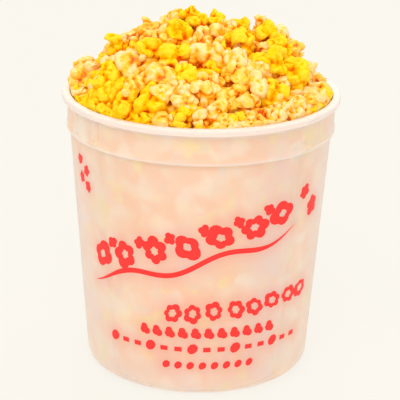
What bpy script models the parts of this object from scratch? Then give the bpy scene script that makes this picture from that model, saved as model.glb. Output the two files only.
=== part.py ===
"""Tub of popcorn: a tapered plastic tub, heaped over its rim with popped corn.

Units are metres, +Z is up, and the origin is the centre of the tub's flat base.
The tub's front faces -Y. Two solids make the object: the tub, turned from one
wall section, and the popcorn, one body from the tub's floor to the heap's
uneven top.
"""

import math
import random

import bpy
from mathutils import Vector

COLLECTION = "popcorn_bucket"
CUTTER_COLLECTION = "popcorn_bucket_cutters"

# Tub
TUB_HEIGHT = 0.1950
BASE_RADIUS = 0.0770
SHOULDER_RADIUS = 0.0897
SHOULDER_Z = 0.1697
WALL = 0.0012
FLOOR = 0.0016
CORNER_RADIUS = 0.0098

# Stacking collar under the lip, with a thicker hem along its lower edge
COLLAR_RADIUS = 0.0914
HEM_RADIUS = 0.0919
HEM_HEIGHT = 0.0035
HEM_CHAMFER = 0.0009

# Rolled lip
LIP_RADIUS = 0.0950
LIP_INNER_RADIUS = 0.0897
LIP_HEIGHT = 0.0046
LIP_TOP_ROUND = 0.0021
LIP_EDGE_ROUND = 0.0008

# Short upright ribs on the collar, as angles round from the front
RIB_ANGLES_DEG = (-50.0, -64.0)
RIB_WIDTH = 0.0012
RIB_PROUD = 0.0005

# Popcorn
GAP = 0.0003
HEAP_EDGE_Z = 0.1880
HEAP_RADIUS = 0.0860
HEAP_RISE = 0.0535
HEAP_LEAN = 0.0015
HEAP_LIMIT_RADIUS = 0.0892
LUMP_COUNT = 84
LUMP_RADII = (0.0105, 0.0150)
LUMP_PEAK = 0.0055
LUMP_VALLEY = 0.0030
LUMP_JITTER = 0.0040
LUMP_BLEND = 0.0008
HEAP_SEED = 20

# Facets
TURN_STEPS = 72
CORNER_STEPS = 5
LIP_STEPS = 3
DOME_STEPS = 26
GOLDEN_ANGLE = math.pi * (3.0 - math.sqrt(5.0))

TUB_COLOUR = (0.93, 0.80, 0.68, 1.0)
POPCORN_COLOUR = (0.95, 0.62, 0.13, 1.0)


def clear_scene():
    """Remove every object of the scene."""
    for existing in list(bpy.data.objects):
        bpy.data.objects.remove(existing, do_unlink=True)


def new_collection(name):
    """Return a collection linked to the scene, made if it is missing."""
    collection = bpy.data.collections.get(name)
    if collection is None:
        collection = bpy.data.collections.new(name)
        bpy.context.scene.collection.children.link(collection)
    return collection


def make_material(name, colour, roughness):
    """Return a plain Principled material."""
    material = bpy.data.materials.new(name)
    material.use_nodes = True
    shader = material.node_tree.nodes["Principled BSDF"]
    shader.inputs["Base Color"].default_value = colour
    shader.inputs["Roughness"].default_value = roughness
    shader.inputs["Metallic"].default_value = 0.0
    return material


def arc(centre_r, centre_z, radius, start_deg, end_deg, steps):
    """Points of an arc in the wall section, both ends included."""
    points = []
    for step in range(steps + 1):
        angle = math.radians(start_deg + (end_deg - start_deg) * step / steps)
        r = centre_r + radius * math.cos(angle)
        z = centre_z + radius * math.sin(angle)
        points.append((r, z))
    return points


def wall_slope():
    """Outward lean of the wall, as radius gained for each metre of height."""
    return (SHOULDER_RADIUS - BASE_RADIUS) / SHOULDER_Z


def corner(inset, floor_z):
    """Rounded corner from the floor up to the leaning wall.

    inset is the distance in from the outside of the wall, and floor_z the
    height of the flat that the corner rises from.
    """
    lean = math.degrees(math.atan(wall_slope()))
    radius = CORNER_RADIUS - inset
    centre_z = floor_z + radius
    across = 1.0 / math.cos(math.radians(lean))
    wall_r = BASE_RADIUS + wall_slope() * centre_z - inset * across
    return arc(wall_r - radius * across, centre_z, radius, -90.0, -lean, CORNER_STEPS)


def inner_side(inset, top_radius, top_z):
    """Inside of the tub from its floor to its mouth, moved in by inset."""
    depth = WALL + inset
    points = [(0.0, FLOOR + inset)]
    points += corner(depth, FLOOR + inset)
    points.append((SHOULDER_RADIUS - depth, SHOULDER_Z - 0.0008))
    points.append((COLLAR_RADIUS - depth, SHOULDER_Z + 0.0012))
    points.append((top_radius, top_z))
    return points


def lip():
    """Rolled lip from its inner edge, over the top, to its underside."""
    top = TUB_HEIGHT
    under = TUB_HEIGHT - LIP_HEIGHT
    inner_round = LIP_EDGE_ROUND
    points = arc(LIP_INNER_RADIUS + inner_round, top - inner_round, inner_round, 180.0, 90.0, LIP_STEPS)
    points += arc(LIP_RADIUS - LIP_TOP_ROUND, top - LIP_TOP_ROUND, LIP_TOP_ROUND, 90.0, 0.0, LIP_STEPS + 1)
    points += arc(LIP_RADIUS - LIP_EDGE_ROUND, under + LIP_EDGE_ROUND, LIP_EDGE_ROUND, 0.0, -90.0, LIP_STEPS)
    return points


def outer_side():
    """Outside of the tub from under the lip down to the centre of the base."""
    hem_top = SHOULDER_Z + HEM_HEIGHT
    points = [
        (COLLAR_RADIUS, TUB_HEIGHT - LIP_HEIGHT),
        (COLLAR_RADIUS, hem_top + 0.0006),
        (HEM_RADIUS, hem_top),
        (HEM_RADIUS, SHOULDER_Z + HEM_CHAMFER),
        (HEM_RADIUS - HEM_CHAMFER, SHOULDER_Z),
        (SHOULDER_RADIUS, SHOULDER_Z),
    ]
    points += reversed(corner(0.0, 0.0))
    points.append((0.0, 0.0))
    return points


def turn(name, profile, collection, material):
    """Turn a section about the upright axis and return the object."""
    mesh = bpy.data.meshes.new(name)
    vertices = [(r, 0.0, z) for r, z in profile]
    edges = [(index, index + 1) for index in range(len(profile) - 1)]
    mesh.from_pydata(vertices, edges, [])
    mesh.materials.append(material)
    turned = bpy.data.objects.new(name, mesh)
    collection.objects.link(turned)
    screw = turned.modifiers.new("Turn", "SCREW")
    screw.axis = "Z"
    screw.angle = 2.0 * math.pi
    screw.steps = TURN_STEPS
    screw.render_steps = TURN_STEPS
    screw.use_merge_vertices = True
    screw.merge_threshold = 0.00001
    screw.use_smooth_shade = True
    return turned


def rib(name, angle_deg, collection):
    """Upright bar across the collar's face, between the hem and the lip."""
    low = SHOULDER_Z + 0.5 * HEM_HEIGHT
    high = TUB_HEIGHT - 0.5 * LIP_HEIGHT
    inner = COLLAR_RADIUS - 0.6 * WALL
    outer = COLLAR_RADIUS + RIB_PROUD
    bpy.ops.mesh.primitive_cube_add(size=1.0)
    bar = bpy.context.active_object
    bar.name = name
    size = Vector((RIB_WIDTH, outer - inner, high - low))
    for vertex in bar.data.vertices:
        vertex.co = Vector(a * b for a, b in zip(vertex.co, size))
    angle = math.radians(angle_deg)
    middle = 0.5 * (inner + outer)
    bar.location = (middle * math.sin(angle), -middle * math.cos(angle), 0.5 * (low + high))
    bar.rotation_euler = (0.0, 0.0, angle)
    for holder in list(bar.users_collection):
        holder.objects.unlink(bar)
    collection.objects.link(bar)
    bar.hide_render = True
    bar.display_type = "WIRE"
    return bar


def smooth_by_angle(mesh):
    """Shade a mesh smooth, with its firm edges kept sharp."""
    mesh.shade_smooth()
    mesh.set_sharp_from_angle(angle=math.radians(35.0))


def build_tub(collection, cutters):
    """Thin tapered shell with its collar, hem, ribs and rolled lip."""
    material = make_material("tub", TUB_COLOUR, 0.45)
    lip_under = TUB_HEIGHT - LIP_HEIGHT
    profile = inner_side(0.0, COLLAR_RADIUS - WALL, lip_under) + lip() + outer_side()
    tub = turn("tub", profile, collection, material)
    for number, angle_deg in enumerate(RIB_ANGLES_DEG):
        bar = rib("rib_" + str(number), angle_deg, cutters)
        join = tub.modifiers.new(bar.name, "BOOLEAN")
        join.operation = "UNION"
        join.object = bar
    return tub


def lumps():
    """Centres and radii of the popped pieces that show on the heap."""
    source = random.Random(HEAP_SEED)
    found = []
    for index in range(LUMP_COUNT):
        height = 1.0 - (index + 0.5) / LUMP_COUNT
        swing = index * GOLDEN_ANGLE
        across = math.sqrt(1.0 - height * height)
        radius = source.uniform(*LUMP_RADII)
        centre = Vector((
            (HEAP_RADIUS * across) * math.cos(swing),
            (HEAP_RADIUS * across) * math.sin(swing),
            HEAP_EDGE_Z + HEAP_RISE * height,
        ))
        sideways = Vector((source.uniform(-1.0, 1.0), source.uniform(-1.0, 1.0), source.uniform(-0.5, 0.5)))
        found.append((centre + LUMP_JITTER * sideways, radius))
    return found


def dome_normal(point):
    """Outward direction of the plain dome at a point on it."""
    normal = Vector((
        point.x / HEAP_RADIUS ** 2,
        point.y / HEAP_RADIUS ** 2,
        (point.z - HEAP_EDGE_Z) / HEAP_RISE ** 2,
    ))
    return normal.normalized()


def swell(point, normal, pieces):
    """How far the lumps carry the dome's surface out from a point on it.

    Each lump is a rounded bump, highest over its centre. Neighbouring lumps
    blend over a distance of LUMP_BLEND.
    """
    total = math.exp(-LUMP_VALLEY / LUMP_BLEND)
    for centre, radius in pieces:
        offset = point - centre
        aside = (offset - offset.dot(normal) * normal).length / radius
        if aside < 1.0 and offset.length < 1.6 * radius:
            height = LUMP_PEAK - (LUMP_PEAK + LUMP_VALLEY) * aside * aside
            total += math.exp(height / LUMP_BLEND)
    return LUMP_BLEND * math.log(total)


def dome():
    """Plain dome from its top to the line where it meets the wall."""
    points = []
    for step in range(DOME_STEPS):
        angle = math.radians(90.0 * (1.0 - step / DOME_STEPS))
        points.append((HEAP_RADIUS * math.cos(angle), HEAP_EDGE_Z + HEAP_RISE * math.sin(angle)))
    points[0] = (0.0, points[0][1])
    return points


def build_popcorn(collection):
    """One body filling the tub, with a lumpy heap above the rim."""
    material = make_material("popcorn", POPCORN_COLOUR, 0.7)
    inside = inner_side(GAP, COLLAR_RADIUS - WALL - GAP, HEAP_EDGE_Z)
    popcorn = turn("popcorn", dome() + list(reversed(inside)), collection, material)
    depsgraph = bpy.context.evaluated_depsgraph_get()
    heaped = bpy.data.meshes.new_from_object(popcorn.evaluated_get(depsgraph))
    pieces = lumps()
    for vertex in heaped.vertices:
        if vertex.co.z <= HEAP_EDGE_Z + 0.0001:
            continue
        normal = dome_normal(vertex.co)
        moved = vertex.co + swell(vertex.co, normal, pieces) * normal
        moved.x += HEAP_LEAN * (vertex.co.z - HEAP_EDGE_Z) / HEAP_RISE
        across = math.hypot(moved.x, moved.y)
        if across > HEAP_LIMIT_RADIUS:
            moved.x *= HEAP_LIMIT_RADIUS / across
            moved.y *= HEAP_LIMIT_RADIUS / across
        vertex.co = moved
    popcorn.modifiers.clear()
    popcorn.data = heaped
    heaped.name = "popcorn"
    smooth_by_angle(heaped)
    return popcorn


def main():
    clear_scene()
    collection = new_collection(COLLECTION)
    cutters = new_collection(CUTTER_COLLECTION)
    build_tub(collection, cutters)
    build_popcorn(collection)


main()
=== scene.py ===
"""Looks of the bucket of popcorn: frosted tub, printed band, and the popped corn."""

import math
import random

import bmesh
import bpy
import numpy as np
from mathutils import Euler, Matrix, Quaternion, Vector, noise


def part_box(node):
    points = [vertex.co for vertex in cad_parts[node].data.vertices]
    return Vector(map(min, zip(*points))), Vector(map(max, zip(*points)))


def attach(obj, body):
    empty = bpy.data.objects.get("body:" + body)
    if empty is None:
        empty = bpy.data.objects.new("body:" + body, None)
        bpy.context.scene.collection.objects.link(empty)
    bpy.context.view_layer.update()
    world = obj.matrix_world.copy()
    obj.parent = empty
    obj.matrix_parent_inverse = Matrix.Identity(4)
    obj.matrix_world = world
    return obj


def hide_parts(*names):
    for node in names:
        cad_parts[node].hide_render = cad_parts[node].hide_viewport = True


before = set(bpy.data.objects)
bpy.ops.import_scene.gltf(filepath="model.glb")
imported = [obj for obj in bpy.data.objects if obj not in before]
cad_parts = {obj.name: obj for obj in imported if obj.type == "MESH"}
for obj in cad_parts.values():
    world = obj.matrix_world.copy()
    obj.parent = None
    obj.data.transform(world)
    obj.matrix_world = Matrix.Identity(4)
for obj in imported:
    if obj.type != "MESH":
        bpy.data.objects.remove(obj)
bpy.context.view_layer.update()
TUB_LOW, TUB_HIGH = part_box("tub")
HEAP_LOW, HEAP_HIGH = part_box("popcorn")

# Tub, in metres; the rim radius and the height from the imported body's own size
RIM_RADIUS = TUB_HIGH[0]
TUB_HEIGHT = TUB_HIGH[2]
BASE_RADIUS = 0.0770
SHOULDER_RADIUS = 0.0897
SHOULDER_Z = 0.1697
WALL = 0.0012
FLOOR = 0.0016
CORNER_RADIUS = 0.0098
COLLAR_RADIUS = 0.0914
HEM_RADIUS = 0.0919
HEM_HEIGHT = 0.0035
HEM_ROUND = 0.0009
LIP_INNER_RADIUS = 0.0897
LIP_HEIGHT = 0.0046
LIP_TOP_ROUND = 0.0021
LIP_EDGE_ROUND = 0.0008
RIB_ANGLES_DEG = (-50.0, -64.0)
RIB_HALF_WIDTH = 0.0006
RIB_PROUD = 0.0005

# Heap: the outer surface that the popped pieces reach
HEAP_EDGE_Z = 0.1880
HEAP_RADIUS = 0.0885
HEAP_RISE = HEAP_HIGH[2] - HEAP_EDGE_Z - 0.0015
HEAP_LIMIT = 0.0893
BEND_SEED = 3


# ---------------------------------------------------------------- helpers

def link(piece):
    """Link a piece to the scene, on the row's one body."""
    if not piece.users_collection:
        bpy.context.scene.collection.objects.link(piece)
    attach(piece, "root")
    return piece


def mesh_from_arrays(name, points, faces):
    """Mesh from an array of points and an array of triangles or quads."""
    mesh = bpy.data.meshes.new(name)
    sides = faces.shape[1]
    mesh.vertices.add(len(points))
    mesh.vertices.foreach_set("co", np.asarray(points, dtype=np.float32).ravel())
    mesh.loops.add(len(faces) * sides)
    mesh.loops.foreach_set("vertex_index", np.asarray(faces, dtype=np.int32).ravel())
    mesh.polygons.add(len(faces))
    mesh.polygons.foreach_set("loop_start", np.arange(len(faces), dtype=np.int32) * sides)
    mesh.update(calc_edges=True)
    mesh.polygons.foreach_set("use_smooth", np.ones(len(faces), dtype=bool))
    mesh.update()
    return mesh


def set_attribute(mesh, name, values):
    """Store one colour for each point of a mesh."""
    layer = mesh.color_attributes.new(name, "FLOAT_COLOR", "POINT")
    layer.data.foreach_set("color", np.asarray(values, dtype=np.float32).ravel())


def arc(centre_r, centre_z, radius, start_deg, end_deg, steps):
    """Points of an arc in the wall section, both ends included."""
    points = []
    for step in range(steps + 1):
        angle = math.radians(start_deg + (end_deg - start_deg) * step / steps)
        points.append((centre_r + radius * math.cos(angle), centre_z + radius * math.sin(angle)))
    return points


# ------------------------------------------------------------- materials

class Nodes:
    """Short way to write a material's node tree."""

    def __init__(self, name):
        self.material = bpy.data.materials.new(name)
        self.material.use_nodes = True
        self.tree = self.material.node_tree
        self.shader = self.tree.nodes["Principled BSDF"]

    def new(self, kind, **settings):
        node = self.tree.nodes.new(kind)
        for key, value in settings.items():
            setattr(node, key, value)
        return node

    def join(self, source, target):
        self.tree.links.new(source, target)

    def noise(self, scale, detail=3.0, roughness=0.5, distortion=0.0):
        node = self.new("ShaderNodeTexNoise")
        node.inputs["Scale"].default_value = scale
        node.inputs["Detail"].default_value = detail
        node.inputs["Roughness"].default_value = roughness
        node.inputs["Distortion"].default_value = distortion
        self.join(self.position(), node.inputs["Vector"])
        return node.outputs["Fac"]

    def position(self):
        return self.new("ShaderNodeTexCoord").outputs["Object"]

    def attribute(self, name):
        node = self.new("ShaderNodeAttribute", attribute_name=name)
        parts = self.new("ShaderNodeSeparateColor")
        self.join(node.outputs["Color"], parts.inputs["Color"])
        return parts.outputs

    def ramp(self, value, stops, interpolation="LINEAR"):
        node = self.new("ShaderNodeValToRGB")
        node.color_ramp.interpolation = interpolation
        elements = node.color_ramp.elements
        while len(elements) < len(stops):
            elements.new(0.5)
        for element, (place, colour) in zip(elements, stops):
            element.position = place
            element.color = (*colour, 1.0)
        self.join(value, node.inputs["Fac"])
        return node.outputs["Color"]

    def math(self, operation, a, b=0.0, clamp=False):
        node = self.new("ShaderNodeMath", operation=operation, use_clamp=clamp)
        for socket, value in zip(node.inputs, (a, b)):
            if isinstance(value, float):
                socket.default_value = value
            else:
                self.join(value, socket)
        return node.outputs["Value"]

    def mix(self, factor, a, b, blend="MIX"):
        node = self.new("ShaderNodeMix", data_type="RGBA", blend_type=blend)
        for socket, value in zip((node.inputs[0], node.inputs[6], node.inputs[7]), (factor, a, b)):
            if isinstance(value, float):
                socket.default_value = value
            elif isinstance(value, tuple):
                socket.default_value = (*value, 1.0)
            else:
                self.join(value, socket)
        return node.outputs[2]

    def bump(self, height, strength, distance):
        node = self.new("ShaderNodeBump")
        node.inputs["Strength"].default_value = strength
        node.inputs["Distance"].default_value = distance
        self.join(height, node.inputs["Height"])
        self.join(node.outputs["Normal"], self.shader.inputs["Normal"])

    def set(self, **values):
        for key, value in values.items():
            socket = self.shader.inputs[key.replace("_", " ")]
            if isinstance(value, (float, int)):
                socket.default_value = value
            elif isinstance(value, tuple):
                socket.default_value = value if len(value) == 3 and socket.type == "VECTOR" else (*value, 1.0)
            else:
                self.join(value, socket)


def stretched(made, value, low, high):
    """The middle of a noise's range spread over the whole of 0 to 1."""
    return made.math("MULTIPLY", made.math("SUBTRACT", value, low), 1.0 / (high - low), True)


def mottle(made, broad_scale, fine_scale, weights):
    """Place along a flake's colour ramp: its folds with painted shade deep in the heap and against neighbours, its own
    tone, and blotches.
    """
    fold_shade_and_tone = made.attribute("fold_shade_and_tone")
    patches = stretched(made, made.noise(broad_scale, 2.0, 0.5), 0.34, 0.66)
    specks = stretched(made, made.noise(fine_scale, 2.0, 0.55), 0.32, 0.68)
    place = fold_shade_and_tone[0]
    for value, weight in zip((patches, specks, fold_shade_and_tone[1]), weights):
        place = made.math("ADD", place, made.math("MULTIPLY", made.math("SUBTRACT", value, 0.5), weight))
    return made.math("MAXIMUM", place, 0.0), patches, specks


def caramel_material():
    """Popped corn under a thin, glassy caramel glaze, dark where it pools and painted darker as shade in the folds."""
    made = Nodes("caramel_corn")
    place, patches, specks = mottle(made, 210.0, 560.0, (0.20, 0.16, 0.28))
    # From the crowns into the folds: partly caramel pooling, partly painted shade.
    colour = made.ramp(place, (
        (0.00, (0.98, 0.67, 0.28)),
        (0.12, (0.98, 0.61, 0.095)),
        (0.28, (0.98, 0.55, 0.022)),
        (0.46, (0.96, 0.43, 0.006)),
        (0.68, (0.88, 0.25, 0.004)),
        (0.95, (0.60, 0.08, 0.001)),
    ))
    made.set(Base_Color=colour, IOR=1.47, Specular_IOR_Level=0.20)
    made.set(Roughness=made.math("ADD", made.math("MULTIPLY", patches, 0.25), 0.28))
    made.set(Coat_Weight=0.30, Coat_Roughness=0.12)
    made.set(Subsurface_Weight=0.22, Subsurface_Radius=(1.0, 0.40, 0.08), Subsurface_Scale=0.0030)
    # Faint orange glow: painted light that warms the shadows.
    made.set(Emission_Color=(1.0, 0.22, 0.01), Emission_Strength=0.022)
    made.bump(specks, 0.55, 0.0008)
    return made.material


def cheese_material():
    """Popped corn dusted with vivid yellow cheese powder, painted orange in the folds as shade."""
    made = Nodes("cheese_corn")
    place, patches, specks = mottle(made, 170.0, 520.0, (0.22, 0.20, 0.18))
    # From yellow crowns to orange folds: painted shade.
    colour = made.ramp(place, (
        (0.00, (0.98, 0.67, 0.030)),
        (0.12, (0.98, 0.60, 0.006)),
        (0.28, (0.98, 0.52, 0.001)),
        (0.50, (0.98, 0.41, 0.002)),
        (0.72, (0.94, 0.25, 0.001)),
        (0.95, (0.74, 0.10, 0.001)),
    ))
    made.set(Base_Color=colour, IOR=1.4, Specular_IOR_Level=0.02)
    made.set(Roughness=made.math("ADD", made.math("MULTIPLY", patches, 0.25), 0.55))
    made.set(Subsurface_Weight=0.20, Subsurface_Radius=(1.0, 0.45, 0.05), Subsurface_Scale=0.0030)
    # Faint orange glow: painted light that warms the shadows.
    made.set(Emission_Color=(1.0, 0.22, 0.01), Emission_Strength=0.022)
    made.bump(specks, 0.75, 0.0008)
    return made.material


def core_material():
    """Shadowed depth of the heap, seen only between the pieces."""
    made = Nodes("popcorn_depth")
    patches = made.noise(90.0, 4.0, 0.6)
    colour = made.ramp(patches, (
        (0.30, (0.92, 0.070, 0.002)),
        (0.55, (0.96, 0.115, 0.004)),
        (0.75, (0.98, 0.180, 0.007)),
    ))
    made.set(Base_Color=colour, Roughness=made.math("ADD", made.math("MULTIPLY", patches, 0.3), 0.5))
    # Orange glow: painted light in the shadowed depth between the flakes.
    made.set(Emission_Color=(1.0, 0.12, 0.01), Emission_Strength=0.10)
    made.bump(made.noise(300.0, 4.0, 0.6), 0.6, 0.002)
    return made.material


def blurred_cells(made, scale):
    """Three random values, each changing softly from one rounded cell to the next."""
    cells = made.new("ShaderNodeTexVoronoi", feature="SMOOTH_F1")
    cells.inputs["Scale"].default_value = scale
    cells.inputs["Smoothness"].default_value = 1.0
    bend = made.new("ShaderNodeTexNoise")
    bend.inputs["Scale"].default_value = 0.8 * scale
    bend.inputs["Detail"].default_value = 1.0
    made.join(made.position(), bend.inputs["Vector"])
    moved = made.new("ShaderNodeVectorMath", operation="MULTIPLY_ADD")
    made.join(bend.outputs["Color"], moved.inputs[0])
    moved.inputs[1].default_value = (0.012, 0.012, 0.012)
    made.join(made.position(), moved.inputs[2])
    made.join(moved.outputs["Vector"], cells.inputs["Vector"])
    parts = made.new("ShaderNodeSeparateColor")
    made.join(cells.outputs["Color"], parts.inputs["Color"])
    return parts.outputs


def plastic_material():
    """Frosted, milky plastic, with the popcorn that it lies close over painted on as soft warm blotches."""
    made = Nodes("frosted_plastic")
    painted_light_masks = made.attribute("glow")
    first, second = blurred_cells(made, 100.0), blurred_cells(made, 74.0)
    # Peach, yellow and cream blotches and grey patches: painted popcorn seen through the frosted wall.
    warm = made.ramp(made.math("MULTIPLY", made.math("ADD", first[0], second[0]), 0.5), (
        (0.28, (1.0, 0.66, 0.47)),
        (0.50, (1.0, 0.71, 0.53)),
        (0.72, (1.0, 0.77, 0.59)),
    ))
    warm = made.mix(made.math("MULTIPLY", stretched(made, first[1], 0.50, 0.82), 0.80), warm, (1.0, 0.775, 0.42))
    warm = made.mix(made.math("MULTIPLY", stretched(made, second[1], 0.50, 0.90), 0.55), warm, (1.0, 0.85, 0.70))
    warm = made.mix(made.math("MULTIPLY", stretched(made, first[2], 0.55, 0.95), 0.50), warm, (0.89, 0.71, 0.60))
    # Milkier, greyer patches: partly popcorn standing off the wall, partly painted grazing light at the sides.
    milky_and_grazing = made.math("MULTIPLY", painted_light_masks[2], made.math("ADD", made.math("MULTIPLY", second[2], 0.8), 0.3), True)
    warm = made.mix(milky_and_grazing, warm, (0.92, 0.715, 0.635))
    # The lip's own pale plastic, and below it the painted see-through colour.
    colour = made.mix(painted_light_masks[1], (0.94, 0.80, 0.73), warm)
    # Painted pink glow round the red print.
    colour = made.mix(painted_light_masks[0], colour, (1.0, 0.42, 0.34))
    made.set(Base_Color=colour, IOR=1.25, Transmission_Weight=0.28)
    made.set(Subsurface_Weight=0.25, Subsurface_Radius=(1.0, 0.75, 0.55), Subsurface_Scale=0.004)
    grain = made.noise(1200.0, 3.0, 0.6)
    made.set(Roughness=made.math("ADD", made.math("MULTIPLY", grain, 0.12), 0.58))
    made.bump(grain, 0.10, 0.0003)
    return made.material


def print_material():
    """Flat red ink with a slight unevenness."""
    made = Nodes("red_ink")
    worn = made.noise(700.0, 4.0, 0.6)
    colour = made.ramp(worn, (
        (0.30, (0.93, 0.030, 0.026)),
        (0.75, (1.00, 0.046, 0.038)),
    ))
    made.set(Specular_IOR_Level=0.2)
    made.set(Base_Color=colour, Roughness=made.math("ADD", made.math("MULTIPLY", worn, 0.2), 0.35))
    made.bump(worn, 0.1, 0.0002)
    return made.material


# ------------------------------------------------------------------- tub

def wall_slope():
    """Outward lean of the wall, as radius gained for each metre of height."""
    return (SHOULDER_RADIUS - BASE_RADIUS) / SHOULDER_Z


def wall_radius(z):
    """Outside radius of the plain wall at a height."""
    return BASE_RADIUS + wall_slope() * z


def corner(inset, floor_z, steps):
    """Rounded corner from the floor up to the leaning wall."""
    lean = math.degrees(math.atan(wall_slope()))
    radius = CORNER_RADIUS - inset
    centre_z = floor_z + radius
    across = 1.0 / math.cos(math.radians(lean))
    centre_r = wall_radius(centre_z) - inset * across - radius * across
    return arc(centre_r, centre_z, radius, -90.0, -lean, steps)


def tub_section():
    """Wall section from the floor's centre, over the lip, to the base's centre.

    Each point is (radius, height, ribbed), where ribbed marks the collar's face.
    """
    floor_z = FLOOR
    under = TUB_HEIGHT - LIP_HEIGHT
    hem_top = SHOULDER_Z + HEM_HEIGHT
    inside = [(0.0, floor_z), (0.5 * BASE_RADIUS, floor_z)]
    inside += corner(WALL, floor_z, 10)
    start_z = inside[-1][1]
    for step in range(1, 12):
        z = start_z + (SHOULDER_Z - 0.0008 - start_z) * step / 11
        inside.append((wall_radius(z) - WALL, z))
    inside.append((COLLAR_RADIUS - WALL, SHOULDER_Z + 0.0012))
    inside.append((COLLAR_RADIUS - WALL, under))
    lip = arc(LIP_INNER_RADIUS + LIP_EDGE_ROUND, TUB_HEIGHT - LIP_EDGE_ROUND, LIP_EDGE_ROUND, 180.0, 90.0, 5)
    lip += arc(RIM_RADIUS - LIP_TOP_ROUND, TUB_HEIGHT - LIP_TOP_ROUND, LIP_TOP_ROUND, 90.0, 0.0, 8)
    lip += arc(RIM_RADIUS - LIP_EDGE_ROUND, under + LIP_EDGE_ROUND, LIP_EDGE_ROUND, 0.0, -90.0, 5)
    collar = arc(COLLAR_RADIUS + 0.0006, under - 0.0006, 0.0006, 90.0, 180.0, 4)
    face = [(COLLAR_RADIUS, under - 0.0006 - (under - hem_top - 0.0018) * step / 6) for step in range(1, 7)]
    hem = [(COLLAR_RADIUS + 0.0001, hem_top + 0.0008), (COLLAR_RADIUS + 0.0003, hem_top + 0.0003)]
    hem += arc(HEM_RADIUS - 0.0004, hem_top - 0.0004, 0.0004, 60.0, 0.0, 3)
    hem += arc(HEM_RADIUS - HEM_ROUND, SHOULDER_Z + HEM_ROUND, HEM_ROUND, 0.0, -90.0, 5)
    hem += arc(SHOULDER_RADIUS + 0.0006, SHOULDER_Z - 0.0006, 0.0006, 90.0, 180.0, 4)
    outside = []
    end_z = corner(0.0, 0.0, 10)[-1][1]
    for step in range(1, 50):
        z = SHOULDER_Z - 0.0012 + (end_z - SHOULDER_Z + 0.0012) * step / 50
        outside.append((wall_radius(z), z))
    outside += reversed(corner(0.0, 0.0, 10))
    outside += [(0.5 * BASE_RADIUS, 0.0), (0.0, 0.0)]
    section = [(r, z, False) for r, z in inside + lip + collar]
    section += [(r, z, True) for r, z in face]
    section += [(r, z, False) for r, z in hem + outside]
    return section


# Milkier, greyer stretches of wall, where the popcorn stands off it and, as painted grazing light, at the sides seen
# edge-on
# from the front: degrees round from the front, half width in degrees, and the heights between which they lie
MILKY_STRETCHES = (
    (-76.0, 22.0, 0.00, 0.17), (78.0, 20.0, -0.03, 0.20), (46.0, 8.0, 0.10, 0.165), (-4.0, 10.0, 0.08, 0.14),
    (140.0, 16.0, 0.04, 0.20), (-150.0, 18.0, -0.03, 0.15), (12.0, 14.0, -0.03, 0.06),
    (-20.0, 80.0, -0.03, 0.036), (36.0, 13.0, -0.03, 0.20),
)


def tub_angles():
    """Angles round from the front: even steps, with close ones at each rib."""
    steps = 180
    angles = [(-180.0 + 360.0 * step / steps, 0.0) for step in range(steps)]
    flank = math.degrees(RIB_HALF_WIDTH / COLLAR_RADIUS)
    for centre in RIB_ANGLES_DEG:
        angles = [entry for entry in angles if abs(entry[0] - centre) > 2.2 * flank]
        angles += [(centre - 1.7 * flank, 0.0), (centre - 0.8 * flank, 1.0), (centre, 1.0)]
        angles += [(centre + 0.8 * flank, 1.0), (centre + 1.7 * flank, 0.0)]
    return sorted(angles)


def print_glow(points, samples):
    """How strongly the painted glow of red light round the print tints the plastic, for each point."""
    glow = np.zeros(len(points))
    for start in range(0, len(points), 2000):
        block = points[start:start + 2000]
        gap = np.linalg.norm(block[:, None, :] - samples[None, :, :], axis=2).min(axis=1)
        glow[start:start + 2000] = np.exp(-(gap / 0.0060) ** 2)
    return glow


def grazing_and_standoff(points):
    """Where the wall looks milkier: popcorn standing a little off it, and painted grazing light at the sides seen
    edge-on from the front.
    """
    round_deg = np.degrees(np.arctan2(points[:, 0], -points[:, 1]))
    milky_and_grazing = np.zeros(len(points))
    for centre, width, low, high in MILKY_STRETCHES:
        away = (round_deg - centre + 180.0) % 360.0 - 180.0
        band = np.clip((points[:, 2] - low) / 0.03, 0.0, 1.0) * np.clip((high - points[:, 2]) / 0.03, 0.0, 1.0)
        milky_and_grazing = np.maximum(milky_and_grazing, np.exp(-(away / width) ** 2) * band)
    return milky_and_grazing


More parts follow.
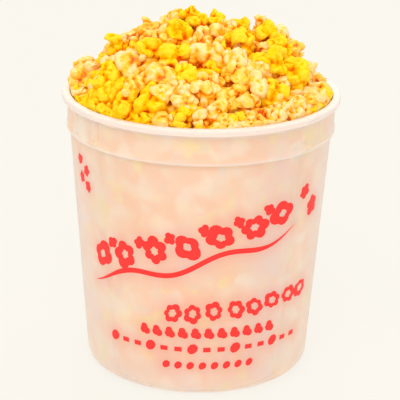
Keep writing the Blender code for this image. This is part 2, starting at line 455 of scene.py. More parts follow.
def build_tub(samples):
    """Closed shell of the tub, turned from its section, with the collar's ribs."""
    section = tub_section()
    angles = tub_angles()
    rows = section[1:-1]
    count = len(angles)
    points = []
    for r, z, ribbed in rows:
        for angle_deg, rib in angles:
            reach = r + (RIB_PROUD * rib if ribbed else 0.0)
            angle = math.radians(angle_deg)
            points.append((reach * math.sin(angle), -reach * math.cos(angle), z))
    points.append((0.0, 0.0, section[0][1]))
    points.append((0.0, 0.0, section[-1][1]))
    points = np.array(points)
    columns = np.arange(count)
    after = (columns + 1) % count
    faces = []
    for row in range(len(rows) - 1):
        low, high = row * count, (row + 1) * count
        faces.append(np.stack([low + columns, low + after, high + after, high + columns], axis=1))
    quads = np.concatenate(faces)
    mesh = bpy.data.meshes.new("tub_shell")
    last = (len(rows) - 1) * count
    inner, base = len(points) - 2, len(points) - 1
    caps = [(inner, int(after[k]), int(columns[k])) for k in range(count)]
    caps += [(base, int(last + columns[k]), int(last + after[k])) for k in range(count)]
    mesh.from_pydata(points.tolist(), [], [tuple(map(int, q)) for q in quads] + caps)
    mesh.shade_smooth()
    mesh.set_sharp_from_angle(angle=math.radians(60.0))
    # Painted glow of red light round the print.
    glow = 0.45 * print_glow(points, samples)
    # 1 where popcorn lies behind the wall below the lip; ribs and the hem's lower edge are kept paler as painted
    # highlights.
    filled = np.clip((TUB_HEIGHT - LIP_HEIGHT - 0.0005 - points[:, 2]) / 0.003, 0.0, 1.0)
    filled *= 1.0 - 0.8 * np.array([ribbed * rib for _, _, ribbed in rows for _, rib in angles] + [0.0, 0.0])
    hem = np.abs(points[:, 2] - SHOULDER_Z - 0.0012) / 0.0012
    filled *= 1.0 - 0.75 * np.clip(1.6 - hem, 0.0, 1.0) * (np.hypot(points[:, 0], points[:, 1]) > SHOULDER_RADIUS)
    milky_and_grazing = grazing_and_standoff(points)
    set_attribute(mesh, "glow", np.stack([glow, filled, milky_and_grazing, np.ones(len(glow))], axis=1))
    tub = bpy.data.objects.new("tub_shell", mesh)
    mesh.materials.append(plastic_material())
    link(tub)
    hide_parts("tub")
    return tub


# ----------------------------------------------------------------- print

def spline(knots, steps):
    """Smooth path through knots, each a tuple of equal length."""
    knots = [np.array(knot, dtype=float) for knot in knots]
    knots = [2 * knots[0] - knots[1]] + knots + [2 * knots[-1] - knots[-2]]
    path = []
    for index in range(1, len(knots) - 2):
        a, b, c, d = knots[index - 1:index + 3]
        for step in range(steps):
            t = step / steps
            path.append(0.5 * (2 * b + (c - a) * t + (2 * a - 5 * b + 4 * c - d) * t * t
                               + (3 * b - a - 3 * c + d) * t ** 3))
    path.append(knots[-2])
    return np.array(path)


class Ink:
    """Flat shapes in wall coordinates: distance round from the front, and height."""

    def __init__(self):
        self.points = []
        self.faces = []

    def grid(self, rows):
        """Add a sheet from equal rows of (round, up) points."""
        start = len(self.points)
        width = len(rows[0])
        for row in rows:
            self.points.extend(row)
        for i in range(len(rows) - 1):
            for j in range(width - 1):
                a = start + i * width + j
                self.faces.append((a, a + 1, a + width + 1, a + width))

    def ribbon(self, knots, steps=12):
        """Brush stroke through (round, up, half width) knots."""
        path = spline(knots, steps)
        ahead = np.gradient(path[:, :2], axis=0)
        ahead /= np.linalg.norm(ahead, axis=1)[:, None]
        side = np.stack([-ahead[:, 1], ahead[:, 0]], axis=1)
        rows = []
        for place, across, half in zip(path[:, :2], side, path[:, 2]):
            rows.append([tuple(place + across * max(half, 0.00005) * t) for t in (-1.0, -0.5, 0.0, 0.5, 1.0)])
        self.grid(rows)

    def ring(self, centre, radius, hole, lobes, turn, wobble):
        """Uneven scalloped ring, or a filled puff when hole is nearly zero."""
        steps = 6 * lobes
        rows = []
        for step in range(steps + 1):
            angle = turn + 2 * math.pi * step / steps
            bulge = abs(math.sin(0.5 * lobes * (angle - turn)))
            lean = 1.0 + 0.14 * math.sin(angle + 3.0 * turn) + 0.10 * math.sin(2.0 * angle - turn)
            outer = radius * lean * (1.0 - wobble + wobble * bulge)
            row = []
            for t in (0.0, 0.33, 0.67, 1.0) if radius > 0.006 else (0.0, 0.5, 1.0):
                inner = hole * outer / radius
                reach = inner + (outer - inner) * t
                row.append((centre[0] + reach * math.cos(angle), centre[1] + reach * math.sin(angle)))
            rows.append(row)
        self.grid(rows)

    def build(self):
        """Thin red layer on the outside of the wall."""
        wrapped = []
        for around, up in self.points:
            radius = wall_radius(up) + 0.00007
            angle = around / 0.085
            wrapped.append((radius * math.sin(angle), -radius * math.cos(angle), up))
        mesh = bpy.data.meshes.new("printed_band")
        mesh.from_pydata(wrapped, [], self.faces)
        bm = bmesh.new()
        bm.from_mesh(mesh)
        bmesh.ops.remove_doubles(bm, verts=bm.verts, dist=0.00002)
        bmesh.ops.recalc_face_normals(bm, faces=bm.faces)
        bm.to_mesh(mesh)
        bm.free()
        mesh.materials.append(print_material())
        band = bpy.data.objects.new("printed_band", mesh)
        thick = band.modifiers.new("Ink", "SOLIDIFY")
        thick.thickness = 0.00009
        thick.offset = 0.0
        link(band)
        return band


def band_art():
    """Plain red ornament: a garland of popped puffs, then rows of puffs and dots."""
    ink = Ink()
    deg = 0.085 * math.pi / 180.0
    knots = []
    for step in range(31):
        angle = -57.0 + 3.5 * step
        middle = 0.076 + 0.00040 * (angle + 57.0) + 0.0035 * math.sin(math.radians(angle * 8.0))
        taper = min(1.0, (step + 0.3) / 6.0, (30.3 - step) / 6.0)
        knots.append((angle * deg, middle, 0.0018 * taper))
    ink.ribbon(knots)
    for index in range(7):
        angle = -50.0 + 15.0 * index
        middle = 0.076 + 0.00040 * (angle + 57.0)
        ink.ring((angle * deg, middle + 0.0155), 0.0095, 0.0030, 4 + index % 3, 0.4 + 0.9 * index, 0.24)
    for index in range(6):
        angle = -42.5 + 15.0 * index
        middle = 0.076 + 0.00040 * (angle + 57.0)
        ink.ring((angle * deg, middle + 0.0235), 0.0044, 0.0001, 4, 0.7 * index, 0.28)
    ink.ring((53.0 * deg, 0.1405), 0.0052, 0.0002, 5, 0.4, 0.28)
    ink.ring((61.0 * deg, 0.1290), 0.0070, 0.0002, 5, 1.1, 0.28)
    for index in range(8):
        angle = -12.0 + 10.0 * index
        ink.ring((angle * deg, 0.0625 + 0.0009 * index), 0.0068, 0.0030, 6, 0.5 + 0.7 * index, 0.20)
    for index in range(11):
        angle = -26.0 + 6.3 * index
        ink.ring((angle * deg, 0.0480), 0.0042, 0.0001, 3, 1.57 + math.pi / 3, 0.30)
    for index in range(15):
        angle = -44.0 + 7.0 * index
        if index % 3 == 0:
            ink.ring((angle * deg, 0.0360), 0.0038, 0.0001, 8, 0.0, 0.05)
        else:
            ink.ribbon([((angle - 1.8) * deg, 0.0360, 0.0017), ((angle + 1.8) * deg, 0.0360, 0.0017)], 6)
    for index in range(8):
        angle = -15.0 + 6.0 * index
        ink.ring((angle * deg, 0.0235), 0.0028, 0.0001, 8, 0.0, 0.05)
    for index, (angle, up) in enumerate(((-65.0, 0.1555), (-59.5, 0.1500), (-64.0, 0.1440), (-58.5, 0.1385))):
        ink.ring((angle * deg, up), 0.0040, 0.0001, 5, 0.6 * index, 0.28)
    return ink


# --------------------------------------------------------------- popcorn

def directions(count, rng, jitter):
    """Evenly spread directions with a little disorder."""
    golden = math.pi * (3.0 - math.sqrt(5.0))
    found = []
    for index in range(count):
        z = 1.0 - 2.0 * (index + 0.5) / count
        across = math.sqrt(1.0 - z * z)
        swing = golden * index
        spot = Vector((across * math.cos(swing), across * math.sin(swing), z))
        spot += jitter * Vector((rng.gauss(0, 1), rng.gauss(0, 1), rng.gauss(0, 1)))
        found.append(spot.normalized())
    return found


def random_turn(rng):
    """Evenly random rotation."""
    return Quaternion([rng.gauss(0, 1) for _ in range(4)]).normalized()


def puff(rng, centre, size, uneven):
    """Matrix of one swollen lobe: a ball stretched unevenly and turned."""
    stretch = [size * rng.uniform(1.0 - uneven, 1.0 + uneven) for _ in range(3)]
    turn = random_turn(rng).to_matrix().to_4x4()
    return Matrix.Translation(centre) @ turn @ Matrix.Diagonal((*stretch, 1.0))


def round_puffs(rng):
    """Lobes of a mushroom flake: a full head of close, rounded lobes."""
    lobes = [puff(rng, Vector((0, 0, 0)), 0.30, 0.15)]
    cleft = random_turn(rng) @ Vector((0, 0, 1))
    for spot in directions(rng.randint(7, 10), rng, 0.20):
        if spot.dot(cleft) > 0.75:
            continue
        lobes.append(puff(rng, spot * rng.uniform(0.23, 0.33), rng.uniform(0.16, 0.26), 0.28))
    for spot in directions(rng.randint(2, 4), rng, 0.35):
        lobes.append(puff(rng, spot * rng.uniform(0.37, 0.43), rng.uniform(0.09, 0.14), 0.3))
    return lobes


def petal_puffs(rng):
    """Lobes of a soft flake: a few broad, thick petals round the middle."""
    lobes = [puff(rng, Vector((0, 0, 0)), 0.23, 0.15)]
    for spot in directions(rng.randint(5, 7), rng, 0.22):
        side = Quaternion(spot, rng.uniform(0.0, 2.0 * math.pi)) @ spot.orthogonal().normalized()
        frame_of = Matrix((spot, side, spot.cross(side))).transposed().to_4x4()
        stretch = (rng.uniform(0.17, 0.24), rng.uniform(0.22, 0.29), rng.uniform(0.14, 0.19), 1.0)
        reach = spot * rng.uniform(0.20, 0.29)
        lobes.append(Matrix.Translation(reach) @ frame_of @ Matrix.Diagonal(stretch))
    return lobes


def open_puffs(rng):
    """Lobes of a butterfly flake: uneven wings thrown out from the middle."""
    lobes = [puff(rng, Vector((0, 0, 0)), 0.22, 0.2)]
    for spot in directions(rng.randint(4, 6), rng, 0.30):
        bend = Vector((rng.uniform(-1, 1), rng.uniform(-1, 1), rng.uniform(-1, 1))) * 0.35
        reach = rng.uniform(0.70, 1.1)
        for step, size in ((0.18, 0.24), (0.30, 0.25)):
            way = (spot + bend * step).normalized()
            lobes.append(puff(rng, way * step * reach, size * rng.uniform(0.85, 1.2), 0.34))
        tip = (spot + bend * 0.4).normalized() * 0.35 * reach
        for bud in directions(rng.randint(1, 3), rng, 0.3):
            if bud.dot(spot) > -0.30:
                lobes.append(puff(rng, tip + bud * rng.uniform(0.09, 0.14), rng.uniform(0.13, 0.19), 0.3))
    return lobes


def curled_puffs(rng):
    """Lobes of a curled flake: a smooth cup with a swollen, wavy edge."""
    lobes = []
    cup = rng.uniform(0.32, 0.40)
    opening = rng.uniform(-0.35, 0.15)
    squash = rng.uniform(0.60, 0.95)
    for spot in directions(34, rng, 0.06):
        if spot.z > opening + 0.30 * math.sin(3.0 * math.atan2(spot.y, spot.x)):
            continue
        place = Vector((spot.x * squash, spot.y, spot.z)) * cup * rng.uniform(0.92, 1.08)
        place.z += 0.12
        lobes.append(puff(rng, place, rng.uniform(0.12, 0.17), 0.22))
    lobes.append(puff(rng, Vector((0, 0, -0.5 * cup + 0.1)), 0.17, 0.2))
    return lobes


def evaluated(thing):
    """Mesh of an object with its modifiers applied."""
    depsgraph = bpy.context.evaluated_depsgraph_get()
    return bpy.data.meshes.new_from_object(thing.evaluated_get(depsgraph))


def to_arrays(mesh):
    """Points and faces of a mesh whose faces all have as many sides."""
    points = np.empty(3 * len(mesh.vertices))
    mesh.vertices.foreach_get("co", points)
    faces = np.empty(len(mesh.loops), dtype=np.int32)
    mesh.loops.foreach_get("vertex_index", faces)
    return points.reshape(-1, 3), faces.reshape(len(mesh.polygons), -1)


def through_modifiers(mesh, settings):
    """Arrays of a mesh after a list of (kind, settings) modifiers."""
    blob = bpy.data.objects.new("blob", mesh)
    bpy.context.scene.collection.objects.link(blob)
    for kind, values in settings:
        modifier = blob.modifiers.new(kind, kind)
        for key, value in values.items():
            setattr(modifier, key, value)
    result = evaluated(blob)
    arrays = to_arrays(result)
    bpy.data.objects.remove(blob)
    bpy.data.meshes.remove(mesh)
    bpy.data.meshes.remove(result)
    return arrays


def fuse(lobes, voxel):
    """Join lobes into one closed skin of quads."""
    bm = bmesh.new()
    for lobe in lobes:
        bmesh.ops.create_icosphere(bm, subdivisions=3, radius=1.0, matrix=lobe)
    mesh = bpy.data.meshes.new("lobes")
    bm.to_mesh(mesh)
    bm.free()
    return through_modifiers(mesh, [
        ("REMESH", {"mode": "VOXEL", "voxel_size": voxel}),
        ("SMOOTH", {"factor": 0.5, "iterations": 2}),
    ])


def thinned(points, faces, triangles):
    """The same skin with fewer faces, all triangles."""
    mesh = mesh_from_arrays("skin", points, faces)
    return through_modifiers(mesh, [
        ("DECIMATE", {"ratio": min(1.0, triangles / (2.0 * len(faces)))}),
        ("TRIANGULATE", {"min_vertices": 4}),
    ])


def normals_of(points, faces):
    """Unit normal at each point."""
    corners = points[faces]
    face_normals = np.cross(corners[:, 2] - corners[:, 0], corners[:, -1] - corners[:, 1])
    if faces.shape[1] == 3:
        face_normals = np.cross(corners[:, 1] - corners[:, 0], corners[:, 2] - corners[:, 0])
    total = np.zeros_like(points)
    for side in range(faces.shape[1]):
        np.add.at(total, faces[:, side], face_normals)
    return total / np.maximum(np.linalg.norm(total, axis=1), 1e-12)[:, None]


def crumple(points, faces, style, seed):
    """Bend the lobes out of round, fold the skin into cells and wrinkle it."""
    offset = Vector((seed * 7.3, seed * 1.9, -seed * 3.1))
    bent = []
    for point in points:
        place = Vector(point)
        place += style["bend"] * noise.noise_vector(place * 2.4 + offset)
        place += 0.4 * style["bend"] * noise.noise_vector(place * 5.5 - offset)
        bent.append(place)
    points = np.array(bent)
    normals = normals_of(points, faces)
    push = []
    for place in bent:
        near = noise.voronoi(place * style["cells"] + offset)[0]
        fold = math.exp(-9.0 * (near[1] - near[0]))
        fine = noise.voronoi(place * (2.3 * style["cells"]) - offset)[0]
        small = math.exp(-7.0 * (fine[1] - fine[0]))
        rough = noise.noise(place * 11.0 + offset)
        push.append(style["swell"] * (0.45 - near[0]) - style["fold"] * fold - style["small"] * small
                    + style["rough"] * rough)
    return points + normals * np.array(push)[:, None]


def spread(values, faces):
    """Average each point's value with its neighbours'."""
    total = np.zeros_like(values)
    weight = np.zeros(len(values))
    for a, b in ((0, 1), (1, 2), (2, 0), (1, 0), (2, 1), (0, 2)):
        np.add.at(total, faces[:, a], values[faces[:, b]])
        np.add.at(weight, faces[:, a], 1.0)
    return total / (weight[:, None] if values.ndim == 2 else weight)


def hollowness(points, faces):
    """From 0 on the lobes' crowns to 1 down in the folds between them."""
    normals = normals_of(points, faces)
    near = points
    for _ in range(3):
        near = spread(near, faces)
    far = near
    for _ in range(10):
        far = spread(far, faces)
    fine = np.einsum("ij,ij->i", near - points, normals)
    broad = np.einsum("ij,ij->i", far - points, normals)
    fine = 0.5 * fine + 0.5 * spread(fine, faces)
    reach = np.linalg.norm(points, axis=1)
    depth = np.clip(1.0 - reach / np.percentile(reach, 97), 0.0, 1.0)
    return np.clip(0.20 + fine * 19.0 + broad * 6.0 + depth * 0.28, 0.0, 1.0)


STYLES = {
    "round": {"bend": 0.11, "cells": 2.4, "swell": 0.03, "fold": 0.010, "small": 0.003, "rough": 0.012},
    "open": {"bend": 0.13, "cells": 2.6, "swell": 0.03, "fold": 0.010, "small": 0.004, "rough": 0.010},
    "open_y": {"bend": 0.11, "cells": 2.4, "swell": 0.03, "fold": 0.008, "small": 0.004, "rough": 0.012},
    "curl": {"bend": 0.11, "cells": 2.4, "swell": 0.03, "fold": 0.006, "small": 0.002, "rough": 0.008},
}


def flake_library(maker, style, count, triangles, voxel, seed):
    """Several different flakes of one kind, about 1 across."""
    flakes = []
    for index in range(count):
        points, faces = fuse(maker(random.Random(seed + index)), voxel)
        low, high = points.min(axis=0), points.max(axis=0)
        points = (points - 0.5 * (low + high)) / (high - low).mean()
        points = crumple(points, faces, STYLES[style], seed + index)
        points, faces = thinned(points, faces, triangles)
        flakes.append((points, faces, hollowness(points, faces), normals_of(points, faces)))
    return flakes


def sunk(points):
    """From 0 near the heap's outer surface to 1 well down between the flakes and below the lip's top; used to paint
    shade into the flakes' colour.
    """
    across = np.hypot(points[:, 0], points[:, 1]) / HEAP_RADIUS
    height = np.maximum(points[:, 2] - HEAP_EDGE_Z, 0.0) / HEAP_RISE
    depth = (1.0 - np.hypot(across, height)) * 0.070
    below = TUB_HEIGHT - 0.003 - points[:, 2]
    return np.clip(np.maximum((depth - 0.0075) / 0.008, below / 0.007), 0.0, 1.0)


def crowding(points, normals, around):
    """From 0 in the open to 1 where a flake's skin faces a close neighbour; used to paint shade into the flakes'
    colour.
    """
    crowd = np.zeros(len(points))
    for centre, size in around:
        toward = np.array(centre) - points
        gap = np.linalg.norm(toward, axis=1)
        facing = np.einsum("ij,ij->i", toward, normals) / np.maximum(gap, 1e-9)
        close = np.clip((1.35 - 2.0 * gap / size) / 0.5, 0.0, 1.0)
        crowd = np.maximum(crowd, close * np.clip(1.6 * facing, 0.0, 1.0))
    return crowd


class Pile:
    """One mesh that collects placed flakes."""

    def __init__(self, name):
        self.name = name
        self.points = []
        self.faces = []
        self.fold_shades = []
        self.total = 0

    def add(self, flake, place, turn, size, tone, around, limit):
        points, faces, hollow_and_shade, normals = flake
        spin = np.array(turn.to_matrix()).T
        moved = points @ spin * size + np.array(place)
        # Painted shade: flakes deep in the heap, below the lip and facing close neighbours are coloured darker and
        # more orange.
        hollow_and_shade = hollow_and_shade + 0.75 * sunk(moved) + 0.50 * crowding(moved, normals @ spin, around)
        moved = limit(moved)
        self.points.append(moved)
        self.faces.append(faces + self.total)
        colour = np.stack([hollow_and_shade, np.full(len(points), tone), hollow_and_shade, np.ones(len(points))], axis=1)
        self.fold_shades.append(colour)
        self.total += len(points)

    def build(self, material):
        mesh = mesh_from_arrays(self.name, np.concatenate(self.points), np.concatenate(self.faces))
        set_attribute(mesh, "fold_shade_and_tone", np.concatenate(self.fold_shades))
        mesh.materials.append(material)
        piece = bpy.data.objects.new(self.name, mesh)
        link(piece)
        print(self.name, "triangles", len(mesh.polygons))
        return piece


def heap_point(azimuth_deg, pitch_deg):
    """Point on the heap's outer surface and the outward direction there."""
    azimuth, pitch = math.radians(azimuth_deg), math.radians(pitch_deg)
    across = math.cos(pitch)
    place = Vector((
        HEAP_RADIUS * across * math.sin(azimuth),
        -HEAP_RADIUS * across * math.cos(azimuth),
        HEAP_EDGE_Z + HEAP_RISE * math.sin(pitch),
    ))
    normal = Vector((place.x / HEAP_RADIUS ** 2, place.y / HEAP_RADIUS ** 2,
                     (place.z - HEAP_EDGE_Z) / HEAP_RISE ** 2)).normalized()
    return place, normal


# Flakes at the front of the heap, one by one: kind, degrees round from the
# front, degrees up the dome, size and lift off the dome in millimetres
FRONT_FLAKES = (
    ("open_y", -130, 82, 12, 5), ("round", -126, 76, 14, 4), ("open", -120, 72, 15, 0),
    ("round", -114, 60, 19, 0), ("round", -54, 68, 14, 0), ("open", -110, 54, 14, 0),
    ("open_y", -52, 76, 18, 1), ("open_y", -50, 58, 19, 0), ("open_y", -24, 58, 21, 0),
    ("curl", -90, 46, 16, 0), ("open_y", -62, 34, 13, 0), ("round", -56, 46, 23, 0),
    ("round", -28, 42, 22, 0), ("open", -36, 30, 17, 2), ("open", -96, 24, 17, 0), ("round", -98, 20, 15, 4),
    ("round", -90, 14, 19, 2), ("open", -90, 8, 18, 3), ("open_y", -56, 24, 21, 0),
    ("curl", -42, 22, 18, 0), ("open_y", -58, 10, 20, 0), ("open_y", -36, 12, 18, 1),
    ("open_y", -24, 20, 22, 0), ("open_y", -26, 12, 15, 0), ("curl", -6, 14, 18, 0),
    ("open", -14, 10, 12, 0), ("curl", -10, 42, 16, 0), ("round", -12, 34, 19, 1),
    ("round", -8, 26, 17, 0), ("open_y", -114, 88, 14, 0), ("open_y", 124, 82, 13, 2),
    ("open", 20, 80, 21, 0), ("open", 4, 62, 24, 0), ("curl", 52, 68, 21, 0), ("curl", 106, 56, 22, 0),
    ("open_y", 96, 72, 13, 0), ("open", 70, 78, 12, 0), ("curl_c", 118, 58, 13, 4),
    ("open", 112, 48, 15, 3), ("open_y", 82, 52, 15, 0), ("round", 106, 38, 15, -1),
    ("round", 92, 28, 13, -2), ("open_y", 54, 48, 21, 0), ("open_y", 66, 34, 22, 0),
    ("open_y", 88, 6, 15, 0), ("round", 70, 16, 18, 0), ("round", 26, 52, 20, 0),
    ("round", 20, 42, 18, 1), ("open", 36, 44, 13, 0), ("round", 0, 36, 20, 0), ("open", 8, 38, 14, 0),
    ("round", 16, 30, 17, 0), ("round", 30, 34, 20, 0), ("round", 22, 24, 18, 0),
    ("open_y", 40, 28, 19, 0), ("open", 42, 18, 16, 0), ("open", 50, 14, 15, 0),
    ("open", 4, 18, 21, 0), ("open", 12, 12, 11, 0), ("open_y", 16, 12, 10, 0),
    ("open", 22, 12, 11, 0), ("open", 30, 12, 15, 0), ("round", 38, 12, 13, 0),
    ("open", 60, 12, 12, 1), ("open", 10, 22, 13, 0), ("open", -20, 28, 13, 0),
)


# Where the heap falls short of the even dome: degrees round from the front,
# degrees up, how wide each way in degrees, and by how much in metres
SLUMPS = ((100.0, 24.0, 28.0, 20.0, 0.0070), (150.0, 68.0, 30.0, 14.0, 0.0035))


def slump(azimuth_deg, pitch_deg):
    """How far the heap falls short of the even dome."""
    drop = 0.0
    for azimuth, pitch, wide, high, most in SLUMPS:
        away = (azimuth_deg - azimuth + 180.0) % 360.0 - 180.0
        drop += most * math.exp(-(away / wide) ** 2 - ((pitch_deg - pitch) / high) ** 2)
    return drop


def heap_spots(rng):
    """Flakes of the outer layer: the front ones, then more all round the dome."""
    spots = []
    for kind, azimuth, pitch, size, lift in FRONT_FLAKES:
        place, normal = heap_point(azimuth, pitch)
        grown = 1.15 if kind in ("open_y", "curl") else 1.10
        spots.append([kind, place - normal * ((0.43 * size - lift) / 1000.0), grown * size / 1000.0])
    golden = 180.0 * (3.0 - math.sqrt(5.0))
    for index in range(420):
        height = 1.0 - (index + 0.5) / 420.0
        pitch = math.degrees(math.asin(height))
        size = rng.uniform(0.020, 0.028) if pitch > 14.0 else rng.uniform(0.016, 0.021)
        place, normal = heap_point(index * golden, pitch)
        centre = place - normal * (0.43 * size + rng.uniform(0.0020, 0.0045) + slump(index * golden, pitch))
        clear = all((centre - other[1]).length > 0.375 * (size + other[2]) for other in spots)
        if clear:
            draw = rng.random()
            kind = "round" if draw < 0.31 else "open" if draw < 0.52 else "open_y" if draw < 0.84 else "curl"
            spots.append([kind, centre, size])
    return spots


def cheese_share(azimuth_deg):
    """How many of the small flakes are cheese ones, round the heap."""
    away = (azimuth_deg + 180.0) % 360.0 - 180.0
    if -75.0 < away < -3.0:
        return 0.80
    return 0.22 if -3.0 <= away < 75.0 else 0.42


def gap_spots(rng, outer):
    """Smaller flakes that sit down in the gaps of the outer layer."""
    spots = []
    golden = 180.0 * (3.0 - math.sqrt(5.0))
    for index in range(900):
        pitch = math.degrees(math.asin(1.0 - (index + 0.5) / 900.0))
        azimuth = index * golden + 15.0
        size = rng.uniform(0.011, 0.015)
        place, normal = heap_point(azimuth, pitch)
        centre = place - normal * (0.43 * size + rng.uniform(0.005, 0.007) + slump(azimuth, pitch))
        if all((centre - other[1]).length > 0.36 * (size + other[2]) for other in outer + spots):
            share = cheese_share(azimuth) if pitch < 35.0 else 0.42
            spots.append(["open_y" if rng.random() < share else "open", centre, size])
    return spots


# Rings of small flakes that close the heap against the lip: how many, the
# least and greatest size, the space to the lip and the depth below its top
RIM_RINGS = (
    (46, 0.013, 0.018, -0.0010, 0.0020), (50, 0.009, 0.012, -0.0008, 0.0030),
    (36, 0.014, 0.018, 0.0060, 0.0100), (32, 0.015, 0.019, 0.0140, 0.0050),
)


def rim_spots(rng):
    """Small flakes that close the heap against the lip all the way round."""
    spots = []
    for count, least, greatest, space, depth in RIM_RINGS:
        for index in range(count):
            azimuth = 360.0 * (index + rng.uniform(-0.2, 0.2)) / count
            size = rng.uniform(least, greatest)
            reach = LIP_INNER_RADIUS - space - 0.42 * size
            height = TUB_HEIGHT - depth + rng.uniform(-0.0015, 0.0020)
            kind = "open_y" if rng.random() < cheese_share(azimuth) else "open"
            swing = math.radians(azimuth)
            spots.append([kind, Vector((reach * math.sin(swing), -reach * math.cos(swing), height)), size])
    return spots


def under_spots(rng):
    """Flakes of the layer beneath, which close the gaps."""
    spots = []
    golden = 180.0 * (3.0 - math.sqrt(5.0))
    for index in range(400):
        height = 1.0 - (index + 0.5) / 400.0
        pitch = math.degrees(math.asin(height))
        size = rng.uniform(0.018, 0.026)
        place, normal = heap_point(index * golden + 40.0, pitch)
        centre = place - normal * (0.5 * size + rng.uniform(0.006, 0.009))
        if all((centre - other[1]).length > 0.36 * (size + other[2]) for other in spots):
            kind = "open_y" if rng.random() < 0.25 else "open"
            spots.append([kind, centre, size])
    return spots


def held_within(points, limit):
    """Points drawn straight in to a limit of distance from the middle."""
    across = np.hypot(points[:, 0], points[:, 1])
    scale = np.minimum(1.0, limit / np.maximum(across, 1e-9))
    held = points.copy()
    held[:, 0] *= scale
    held[:, 1] *= scale
    return held


def inside_heap(points):
    """Hold placed points inside the lip, or a little over it once above it."""
    over = np.clip((points[:, 2] - TUB_HEIGHT - 0.0004) / 0.006, 0.0, 1.0)
    return held_within(points, HEAP_LIMIT + 0.0030 * over)


def against_wall(points):
    """Hold placed points just into the wall of the tub and its rounded corner."""
    height = np.clip(points[:, 2], FLOOR + 0.0004, SHOULDER_Z)
    inner = BASE_RADIUS + wall_slope() * height - WALL + 0.0002
    depth = np.clip(CORNER_RADIUS - height, 0.0, CORNER_RADIUS)
    turn = CORNER_RADIUS - WALL
    inner -= CORNER_RADIUS - WALL - np.sqrt(np.maximum(turn ** 2 - np.minimum(depth, turn) ** 2, 0.0))
    held = held_within(points, inner)
    held[:, 2] = np.maximum(held[:, 2], FLOOR + 0.0004)
    return held


def neighbours(centre, size, spots):
    """Centre and size of each flake that comes close to one, without itself."""
    return [(other, extent) for _, other, extent in spots
            if 0.0 < (other - centre).length < 0.62 * (size + extent)]


def build_popcorn():
    """Caramel and cheese flakes over a core painted dark as shade."""
    rng = random.Random(11)
    noise.seed_set(BEND_SEED)
    caramel, cheese = caramel_material(), cheese_material()
    shapes = {
        "round": flake_library(round_puffs, "round", 8, 4200, 0.026, 100),
        "open": flake_library(open_puffs, "open", 8, 4200, 0.026, 200),
        "open_y": flake_library(petal_puffs, "open_y", 8, 4200, 0.026, 250),
        "curl": flake_library(curled_puffs, "curl", 5, 4200, 0.026, 300),
        "small": flake_library(petal_puffs, "open", 7, 1300, 0.04, 400),
        "deep": flake_library(open_puffs, "open", 5, 600, 0.05, 450),
        "wall": flake_library(round_puffs, "round", 6, 700, 0.05, 500),
    }
    piles = {
        "round": Pile("caramel_round_corn"),
        "open": Pile("caramel_open_corn"),
        "open_y": Pile("cheese_open_corn"),
        "curl": Pile("cheese_curled_corn"),
        "under": Pile("caramel_under_corn"),
        "under_y": Pile("cheese_under_corn"),
        "wall": Pile("caramel_wall_corn"),
        "wall_y": Pile("cheese_wall_corn"),
    }
    outer = heap_spots(rng)
    small = gap_spots(rng, outer) + rim_spots(rng)
    deep = under_spots(rng)
    for kind, centre, size in outer:
        shape, pile = ("curl", "open") if kind == "curl_c" else (kind, kind)
        around = neighbours(centre, size, outer + small)
        piles[pile].add(rng.choice(shapes[shape]), centre, random_turn(rng), size, rng.random(), around, inside_heap)
    for shape, spots, others in (("small", small, outer + small), ("deep", deep, outer)):
        for kind, centre, size in spots:
            name = "under_y" if kind == "open_y" else "under"
            around = neighbours(centre, size, others)
            piles[name].add(rng.choice(shapes[shape]), centre, random_turn(rng), size, rng.random(), around, inside_heap)
    rows = 10
    for row in range(rows):
        z = 0.014 + (0.182 - 0.014) * row / (rows - 1)
        radius = wall_radius(min(z, SHOULDER_Z)) - WALL
        count = int(2 * math.pi * radius / 0.0205)
        for index in range(count):
            size = rng.uniform(0.021, 0.029)
            angle = 2 * math.pi * (index + 0.5 * (row % 2) + rng.uniform(-0.2, 0.2)) / count
            reach = radius - 0.40 * size
            centre = Vector((reach * math.sin(angle), -reach * math.cos(angle), z + rng.uniform(-0.004, 0.004)))
            name = "wall_y" if rng.random() < 0.22 else "wall"
            piles[name].add(rng.choice(shapes["wall"]), centre, random_turn(rng), size, rng.random(), (), against_wall)
    for name, pile in piles.items():
        yellow = name.endswith("_y") or name == "curl"
        piece = pile.build(cheese if yellow else caramel)
    return piece


def build_core():
    """Middle of the fill, painted dark as shade, a little smaller than the heap and the tub."""
    bm = bmesh.new()
    bmesh.ops.create_icosphere(bm, subdivisions=5, radius=1.0)
    for vertex in bm.verts:
        x, y, z = vertex.co
        across = math.hypot(x, y)
        if z >= 0.0:
            radius = across * (HEAP_RADIUS - 0.012)
            height = 0.175 + (HEAP_RISE + HEAP_EDGE_Z - 0.175 - 0.016) * z
        else:
            depth = -z
            height = 0.175 - (0.175 - FLOOR - 0.0005) * min(1.0, depth * 1.25)
            radius = min(1.0, across * 1.667) * (wall_radius(height) - WALL - 0.010)
            if depth < 0.8:
                radius = wall_radius(height) - WALL - 0.010
        swing = math.atan2(y, x)
        bulge = 0.004 * noise.noise(Vector((x, y, z)) * 9.0)
        vertex.co = Vector((
            (radius + bulge) * math.cos(swing),
            (radius + bulge) * math.sin(swing),
            max(height + bulge * max(z, 0.0), FLOOR + 0.0004),
        ))
    mesh = bpy.data.meshes.new("popcorn_core")
    bm.to_mesh(mesh)
    bm.free()
    mesh.shade_smooth()
    mesh.materials.append(core_material())
    core = bpy.data.objects.new("popcorn_core", mesh)
    link(core)
    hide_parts("popcorn")
    return core


# ------------------------------------------------------- floor, light, camera

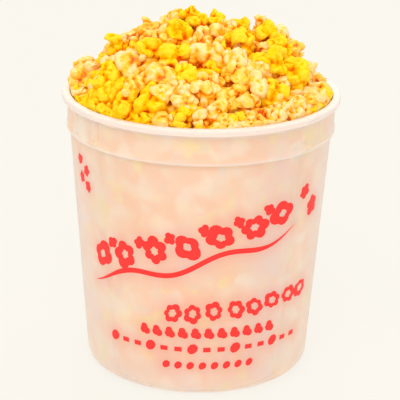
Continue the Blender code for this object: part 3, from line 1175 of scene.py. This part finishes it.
def build_floor():
    """Wide pale floor."""
    mesh = bpy.data.meshes.new("floor")
    half = 12.0
    mesh.from_pydata([(-half, -half, 0), (half, -half, 0), (half, half, 0), (-half, half, 0)], [], [(0, 1, 2, 3)])
    made = Nodes("pale_floor")
    made.set(Base_Color=(0.11, 0.106, 0.098), Roughness=0.9, Specular_IOR_Level=0.0)
    made.set(Emission_Color=(0.956, 0.93, 0.86), Emission_Strength=0.86)
    mesh.materials.append(made.material)
    floor = bpy.data.objects.new("floor", mesh)
    floor.location = (0.0, 0.0, -0.0003)
    bpy.context.scene.collection.objects.link(floor)


def area_light(name, place, target, size, power, colour):
    """Soft square light aimed at a point."""
    data = bpy.data.lights.new(name, "AREA")
    data.shape = "SQUARE"
    data.size = size
    data.energy = power
    data.color = colour
    lamp = bpy.data.objects.new(name, data)
    lamp.location = place
    way = Vector(target) - Vector(place)
    lamp.rotation_euler = way.to_track_quat("-Z", "Y").to_euler()
    bpy.context.scene.collection.objects.link(lamp)


def build_light():
    """Even studio light: a soft key high in front, low fills, and one above."""
    world = bpy.data.worlds.new("studio")
    world.use_nodes = True
    backdrop = world.node_tree.nodes["Background"]
    backdrop.inputs["Color"].default_value = (1.0, 0.985, 0.955, 1.0)
    backdrop.inputs["Strength"].default_value = 0.82
    bpy.context.scene.world = world
    area_light("key", (-0.5, -1.9, 3.0), (0, 0, 0.17), 1.8, 44.0, (1.0, 0.98, 0.95))
    area_light("front", (0.3, -3.4, 1.1), (0, 0, 0.10), 2.4, 32.0, (1.0, 0.98, 0.96))
    area_light("top", (0.5, 1.0, 3.0), (0, 0, 0.17), 1.8, 20.0, (1.0, 0.99, 0.97))
    area_light("back", (0.0, 3.2, 1.2), (0, 0, 0.10), 2.4, 16.0, (1.0, 0.98, 0.96))
    view = bpy.context.scene.view_settings
    view.view_transform = "Standard"
    view.look = "None"


def build_camera():
    """Long lens from the front, looking down at the heap."""
    data = bpy.data.cameras.new("camera")
    data.sensor_width = 36.0
    data.lens = 1852.0 / 400.0 * 36.0
    data.clip_start, data.clip_end = 0.05, 60.0
    camera = bpy.data.objects.new("camera", data)
    elevation = math.radians(20.256)
    distance = 13.67 * 0.095
    target = Vector((0.0, 0.0, 0.0977))
    camera.location = target + distance * Vector((0.0, -math.cos(elevation), math.sin(elevation)))
    pitch = math.radians(90.0 - 20.256 + 0.706)
    turn = Matrix.Rotation(math.radians(-0.021), 3, "Z") @ Matrix.Rotation(pitch, 3, "X")
    turn = turn @ Matrix.Rotation(math.radians(1.106), 3, "Z")
    camera.rotation_euler = turn.to_euler()
    bpy.context.scene.collection.objects.link(camera)
    bpy.context.scene.camera = camera


art = band_art()
band = art.build()
samples = np.array([vertex.co for vertex in band.data.vertices])[::3]
build_tub(samples)
build_core()
build_popcorn()
build_floor()
build_light()
build_camera()
